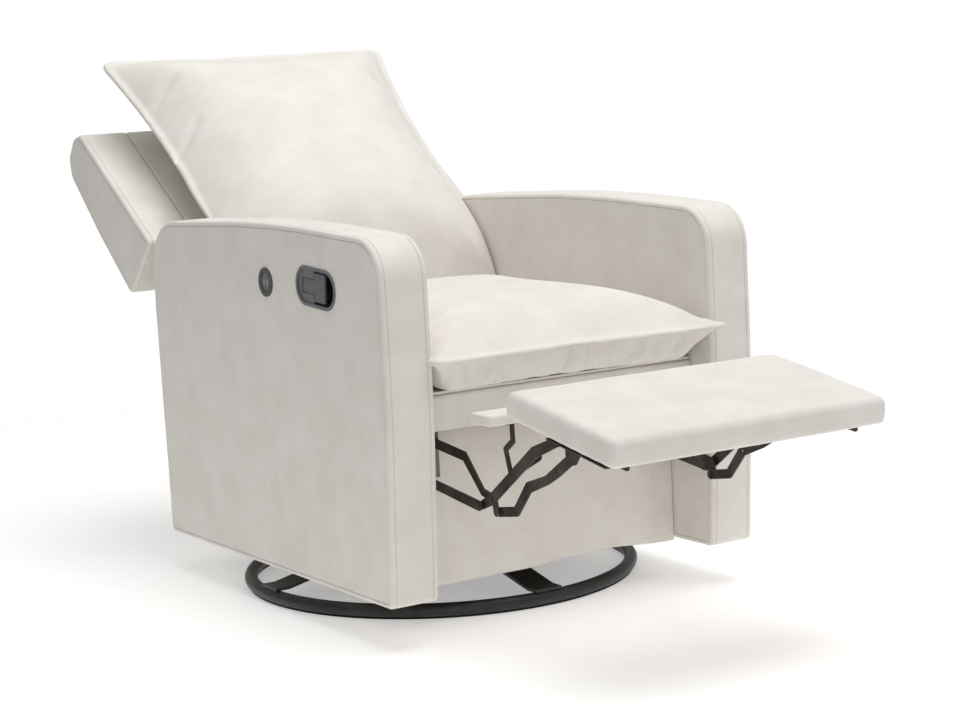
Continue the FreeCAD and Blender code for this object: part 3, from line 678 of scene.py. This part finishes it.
def soften(piece, voxel, passes):
    """Remeshes evenly and relaxes the edges, as foam under cloth does."""
    even = piece.modifiers.new("even_cloth", "REMESH")
    even.mode = "VOXEL"
    even.voxel_size = voxel
    relax = piece.modifiers.new("foam_edges", "SMOOTH")
    relax.factor = 0.5
    relax.iterations = passes
    apply_modifiers(piece)


low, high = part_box("footrest_pad")
footrest = padded_block("footrest_cushion", footrest_outline(), low.x, high.x, 0.012)
soften(footrest, 0.005, 4)
crown_height = 0.003
unevenness = 0.0009
middle = footrest_top + along_foot * footrest_length / 2
for vertex in footrest.data.vertices:
    side_share = min(1.0, abs(vertex.co.x) / high.x)
    end_share = min(1.0, abs((vertex.co - middle).dot(along_foot)) / (footrest_length / 2))
    height = (vertex.co - footrest_top).dot(out_of_foot)
    crown = (1 - side_share ** 4) * (1 - end_share ** 3)
    if height > -footrest_thickness * 0.6:
        vertex.co += out_of_foot * crown_height * crown
    vertex.co += vertex.normal * unevenness * noise.noise(vertex.co * 9)
upholster(footrest, "footrest", ["footrest_pad"], degrees=60)


# Loose cushions. The seat cushion and the back pillow are knife-edged: two flat panels sewn together all
# round, with the seam allowance caught in a stitched flange, then filled until the sides draw in and the
# corners stand out.

filling_frames = 24


def inflate(piece, pressure):
    """Fills a flat envelope by cloth simulation."""
    cloth = piece.modifiers.new("filling", "CLOTH")
    cloth.settings.quality = 6
    cloth.settings.mass = 0.25
    cloth.settings.tension_stiffness = 25
    cloth.settings.compression_stiffness = 25
    cloth.settings.shear_stiffness = 8
    cloth.settings.bending_stiffness = 0.25
    cloth.settings.use_pressure = True
    cloth.settings.uniform_pressure_force = pressure
    cloth.settings.effector_weights.gravity = 0
    cloth.point_cache.frame_start = 1
    cloth.point_cache.frame_end = filling_frames
    for step in range(1, filling_frames + 1):
        scene.frame_set(step)
    apply_modifiers(piece)
    scene.frame_set(1)


half_gap = 0.004
lip = 0.0025
lip_edge = 0.0060
lip_droop = 0.003
pucker = 0.009
unfilled_ripple = 0.0010


def knife_edge_cushion(name, width, length, half_thickness, flange, fullness, base_fullness, side_draw,
                       end_draw):
    """Lies in X and Y, filled to half_thickness each way. Returns the cushion and its stitching."""
    object_mode()
    bpy.ops.mesh.primitive_grid_add(x_subdivisions=58, y_subdivisions=64, size=1)
    cushion = bpy.context.object
    cushion.name = name
    cushion.scale = (width - 2 * flange, length - 2 * flange, 1)
    settle(cushion)
    walls = cushion.modifiers.new("two_panels", "SOLIDIFY")
    walls.thickness = 2 * half_gap
    walls.offset = 0
    apply_modifiers(cushion)
    rim = {face.index for face in cushion.data.polygons if abs(face.normal.z) < 0.5}
    half_width = width / 2 - flange
    half_length = length / 2 - flange
    for vertex in cushion.data.vertices:
        across = vertex.co.x / half_width
        along = vertex.co.y / half_length
        vertex.co.x -= side_draw * across ** 3 * (1 - along ** 2)
        vertex.co.y -= end_draw * min(0, along) ** 3 * (1 - across ** 2)
        vertex.co.z += unfilled_ripple * noise.noise(vertex.co * 14)
    flat_places = [vertex.co.copy() for vertex in cushion.data.vertices]
    inflate(cushion, 4.0)
    highest = max(abs(vertex.co.z) for vertex in cushion.data.vertices)
    drawn = max((vertex.co - start).to_2d().length
                for vertex, start in zip(cushion.data.vertices, flat_places))
    ease = min(1.0, pucker / max(drawn, pucker))
    for vertex, start in zip(cushion.data.vertices, flat_places):
        share = max(0.0, (abs(vertex.co.z) - half_gap) / (highest - half_gap))
        swell = 1 - (1 - share) ** (fullness if vertex.co.z > 0 else base_fullness)
        height = lip + (half_thickness - lip) * swell
        vertex.co = start.lerp(vertex.co, ease)
        vertex.co.z = math.copysign(height, start.z)
    edit(cushion)
    pick("FACE", lambda f: f.index in rim)
    bpy.ops.mesh.extrude_region_shrink_fatten(TRANSFORM_OT_shrink_fatten={"value": flange})
    shape = bmesh.from_edit_mesh(cushion.data)
    outer = {v for v in shape.verts if v.select}
    for edge in [e for e in shape.edges if e.select and set(e.verts) <= outer]:
        top, bottom = edge.verts
        if len({f.index for f in edge.link_faces if f.select}) == 2:
            middle_point = (top.co + bottom.co) / 2
            for vertex in (top, bottom):
                away = (vertex.co - middle_point).normalized()
                vertex.co = middle_point + away * lip_edge - Vector((0, 0, lip_droop))
    roots = {e.other_vert(v) for v in outer for e in v.link_edges if e.other_vert(v) not in outer}
    root_numbers = {v.index for v in roots}
    bmesh.update_edit_mesh(cushion.data)
    pick("EDGE", lambda e: all(v.index in root_numbers for v in e.verts))
    bpy.ops.transform.edge_crease(value=0.8)
    object_mode()
    row = thread(name + "_stitching", cushion, lambda e: all(v.index in root_numbers for v in e.verts))
    finer = cushion.modifiers.new("smooth_cloth", "SUBSURF")
    finer.levels = 1
    finer.render_levels = 1
    apply_modifiers(cushion)
    smooth(cushion, 80)
    cushion.data.materials.append(performance_cloth)
    return cushion, row


def place_cushion(pieces, tilt, centre, shape_point):
    """Tilts and moves the pieces, then moves each vertex through shape_point."""
    for piece in pieces:
        piece.rotation_euler = (tilt, 0, 0)
        piece.location = centre
        settle(piece)
        for vertex in piece.data.vertices:
            vertex.co = shape_point(vertex.co.copy())


def soft_limit(value, limit, ease):
    """Holds value under limit, easing in over the last stretch."""
    start = limit - ease
    if value <= start:
        return value
    return start + ease * math.tanh((value - start) / ease)


deck_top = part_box("seat_deck")[1].z + 0.0015
arm_inside = 0.2790
arm_front = -0.462
gather_depth = 0.011


def press_seat(point):
    """Rests the cushion on the deck and between the arms, with gathers below its front seam."""
    point.z = -soft_limit(-point.z, -deck_top, 0.012)
    if point.y < -0.40 and deck_top < point.z < seat_seam - 0.006:
        gather = 1 - 2 * abs(noise.noise(Vector((point.x * 24, 0, point.z * 7)))) ** 0.5
        point.y += gather_depth * gather * min(1.0, (seat_seam - point.z) / 0.02)
    if point.y > arm_front:
        held = min(1.0, (point.y - arm_front) / 0.03)
        pressed = math.copysign(soft_limit(abs(point.x), arm_inside, 0.010), point.x)
        point.x += (pressed - point.x) * held
    return point


seat_seam = 0.470
seat_cushion, seat_row = knife_edge_cushion("seat_cushion_cover", width=0.600, length=0.700,
                                            half_thickness=0.078, flange=0.012, fullness=2.2,
                                            base_fullness=5.5, side_draw=0.028, end_draw=0.028)
place_cushion((seat_cushion, seat_row), 0, Vector((0, -0.167, seat_seam)), press_seat)
for piece in (seat_cushion, seat_row):
    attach(piece, "seat_frame")
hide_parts("seat_cushion")

arm_top = 0.676
tuck = 1.9
flange_plane = 0.09
pillow_side = 0.292
crease_reach = 0.085
crease_depth = 0.010
pillow_creases = ((-1, 0.115, 0.9), (-1, 0.255, 0.7), (1, 0.080, 0.8), (1, 0.230, 0.6))


def press_pillow(point):
    """Rests the pillow on the back and between the arms, tucks its foot in, and creases its sides."""
    out = (point - back_foot).dot(out_of_back)
    along = (point - back_foot).dot(up_the_back)
    out -= tuck * max(0.0, -0.05 - along) ** 2
    for side, height, lean in pillow_creases:
        reach = pillow_side - side * point.x
        if out > flange_plane and 0 < reach < crease_reach:
            across = along - height - lean * reach
            width = 0.005 + 0.10 * reach
            out -= crease_depth * math.exp(-(across / width) ** 2) * math.sin(math.pi * reach / crease_reach)
    out = -soft_limit(-out, -0.003, 0.02)
    point = back_foot + Vector((point.x, 0, 0)) + up_the_back * along + out_of_back * out
    if point.z < arm_top + 0.04 and point.y < 0.40:
        held = min(1.0, (arm_top + 0.04 - point.z) / 0.05)
        pressed = math.copysign(soft_limit(abs(point.x), arm_inside - 0.001, 0.012), point.x)
        point.x += (pressed - point.x) * held
    return point


pillow, pillow_row = knife_edge_cushion("back_pillow_cover", width=0.640, length=0.720, half_thickness=0.088,
                                        flange=0.013, fullness=2.3, base_fullness=2.3, side_draw=0.030,
                                        end_draw=0.004)
place_cushion((pillow, pillow_row), math.radians(39), Vector((0, 0.4140, 0.7450)), press_pillow)
for piece in (pillow, pillow_row):
    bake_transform(piece)
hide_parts("back_pillow")
